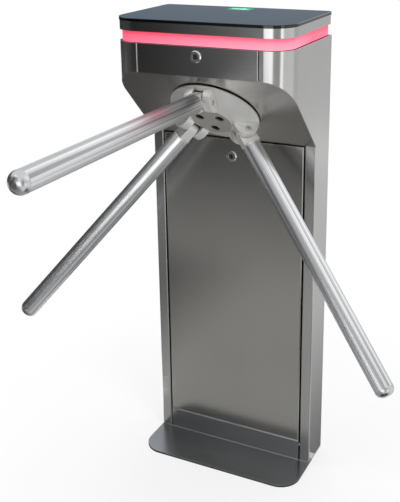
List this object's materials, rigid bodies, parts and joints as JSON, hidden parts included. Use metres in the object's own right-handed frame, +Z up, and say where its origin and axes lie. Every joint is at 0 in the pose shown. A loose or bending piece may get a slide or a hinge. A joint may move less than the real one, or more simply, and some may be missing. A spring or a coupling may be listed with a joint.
{
  "type": "tripod turnstile",
  "caption": "Free-standing stainless tripod turnstile: column on a floor plate, head with a sloped face, folding-arm rotor, lit band and dark glass lid, with its locking mechanism inside.",
  "frame": {"origin": "on the floor, at the centre of the anchor hole pattern under the column", "axes": "+X to the right of someone facing the front, +Y to the back, +Z up"},
  "size_m": [0.8498, 0.8111, 1.02],
  "materials": {
    "stainless": "brushed satin",
    "arm_steel": "polished lengthwise",
    "cast_aluminium": "satin cast",
    "pin_steel": "turned",
    "chrome": "polished",
    "lock_plug": "satin",
    "zinc_steel": "zinc plated",
    "bearing_steel": "ground",
    "gear_steel": "machined",
    "spring_steel": "oiled",
    "solenoid_black": "moulded",
    "plunger_steel": "ground",
    "light_diffuser": "lit from behind",
    "light_source": "lit",
    "dark_glass": "black from behind",
    "indicator": "lit",
    "reader_plastic": "moulded",
    "circuit_board": "lacquered",
    "supply_case": "folded sheet"
  },
  "bodies": {
    "cabinet": {"base_plate": "stainless", "left_side_panel": "stainless", "right_side_panel": "stainless", "back_panel": "stainless", "slope_panel": "stainless", "head_front_panel": "stainless", "kick_panel": "stainless", "door_lintel": "stainless", "mechanism_plate": "zinc_steel", "mechanism_brackets": "zinc_steel", "mechanism_bolts": "zinc_steel", "bearing_housing": "cast_aluminium", "bearing_outer_races": "bearing_steel", "mechanism_pins": "pin_steel", "centring_spring": "spring_steel", "solenoids": "solenoid_black", "control_board": "circuit_board", "board_standoffs": "zinc_steel", "power_supply": "supply_case", "hinge_fixed_leaves": "zinc_steel", "hinge_pins": "pin_steel", "head_lock_barrel": "chrome"},
    "rotor": {"rotor_hub": "cast_aluminium", "hub_screws": "pin_steel", "arm_pins": "pin_steel", "shaft": "pin_steel", "bearing_inner_races": "bearing_steel", "locking_disc": "gear_steel", "main_gear": "gear_steel", "shaft_nut": "pin_steel"},
    "ball_cages": {"bearing_balls": "bearing_steel"},
    "crank": {"crank_gear": "gear_steel"},
    "pawl_left": {"left_pawl": "gear_steel"},
    "pawl_right": {"right_pawl": "gear_steel"},
    "plunger_left": {"left_plunger": "plunger_steel"},
    "plunger_right": {"right_plunger": "plunger_steel"},
    "lid": {"light_band": "light_diffuser", "light_strip": "light_source", "lid_tray": "zinc_steel", "lid_rim": "stainless", "lid_glass": "dark_glass", "indicator_light": "indicator", "reader_module": "reader_plastic", "lid_catch": "zinc_steel", "hinge_moving_leaves": "zinc_steel"},
    "head_lock": {"head_lock_plug": "lock_plug", "head_lock_cam": "zinc_steel"},
    "door": {"door_panel": "stainless", "door_lock_barrel": "chrome"},
    "door_lock": {"door_lock_plug": "lock_plug", "door_lock_cam": "zinc_steel"},
    "arm_1": {"arm_1_tongue": "cast_aluminium", "arm_1_tube": "arm_steel", "arm_1_cap": "arm_steel"},
    "arm_2": {"arm_2_tongue": "cast_aluminium", "arm_2_tube": "arm_steel", "arm_2_cap": "arm_steel"},
    "arm_3": {"arm_3_tongue": "cast_aluminium", "arm_3_tube": "arm_steel", "arm_3_cap": "arm_steel"}
  },
  "joints": [
    {"name": "tripod_spin", "type": "hinge", "parent": "cabinet", "child": "rotor", "pos_m": [0, -0.11611, 0.83011], "axis": [0, -0.7071, -0.7071], "continuous": true},
    {"name": "bearing_roll", "type": "hinge", "parent": "cabinet", "child": "ball_cages", "pos_m": [0, -0.11611, 0.83011], "axis": [0, -0.7071, -0.7071], "continuous": true},
    {"name": "crank_spin", "type": "hinge", "parent": "cabinet", "child": "crank", "pos_m": [0.07527, -0.0577, 0.92727], "axis": [0, -0.7071, -0.7071], "continuous": true, "deforming": ["centring_spring"]},
    {"name": "arm_1_drop", "type": "hinge", "parent": "rotor", "child": "arm_1", "pos_m": [0, -0.18612, 0.86335], "axis": [1, 0, 0], "range_deg": [0, 90]},
    {"name": "arm_2_drop", "type": "hinge", "parent": "rotor", "child": "arm_2", "pos_m": [-0.06322, -0.10869, 0.78592], "axis": [-0.5, -0.6124, 0.6124], "range_deg": [0, 45]},
    {"name": "arm_3_drop", "type": "hinge", "parent": "rotor", "child": "arm_3", "pos_m": [0.06322, -0.10869, 0.78592], "axis": [-0.5, 0.6124, -0.6124], "range_deg": [0, 45]},
    {"name": "pawl_left_lock", "type": "hinge", "parent": "cabinet", "child": "pawl_left", "pos_m": [-0.04735, -0.0044, 0.85417], "axis": [0, 0.7071, 0.7071], "range_deg": [0, 14], "stiffness_Nm_per_rad": 0.05, "springref_deg": -11.46},
    {"name": "plunger_left_push", "type": "slide", "parent": "cabinet", "child": "plunger_left", "axis": [0.866, -0.3536, 0.3536], "range_m": [0, 0.0145]},
    {"name": "pawl_right_lock", "type": "hinge", "parent": "cabinet", "child": "pawl_right", "pos_m": [0.04735, -0.0044, 0.85417], "axis": [0, -0.7071, -0.7071], "range_deg": [0, 14], "stiffness_Nm_per_rad": 0.05, "springref_deg": -11.46},
    {"name": "plunger_right_push", "type": "slide", "parent": "cabinet", "child": "plunger_right", "axis": [-0.866, -0.3536, 0.3536], "range_m": [0, 0.0145]},
    {"name": "lid_hinge", "type": "hinge", "parent": "cabinet", "child": "lid", "pos_m": [0, 0.045, 0.97225], "axis": [-1, 0, 0], "range_deg": [0, 95]},
    {"name": "head_lock_turn", "type": "hinge", "parent": "cabinet", "child": "head_lock", "pos_m": [0, -0.2, 0.953], "axis": [0, -1, 0], "range_deg": [0, 90]},
    {"name": "door_pull", "type": "slide", "parent": "cabinet", "child": "door", "axis": [0, -1, 0], "range_m": [0, 0.02]},
    {"name": "door_lock_turn", "type": "hinge", "parent": "door", "child": "door_lock", "pos_m": [0, -0.04, 0.713], "axis": [0, -1, 0], "range_deg": [0, 90]}
  ],
  "couplings": [
    {"joint": "bearing_roll", "follows": "tripod_spin", "ratio": 0.4},
    {"joint": "crank_spin", "follows": "tripod_spin", "ratio": -3},
    {"joint": "plunger_left_push", "follows": "pawl_left_lock", "m_per_rad": 0.059},
    {"joint": "plunger_right_push", "follows": "pawl_right_lock", "m_per_rad": 0.059}
  ]
}
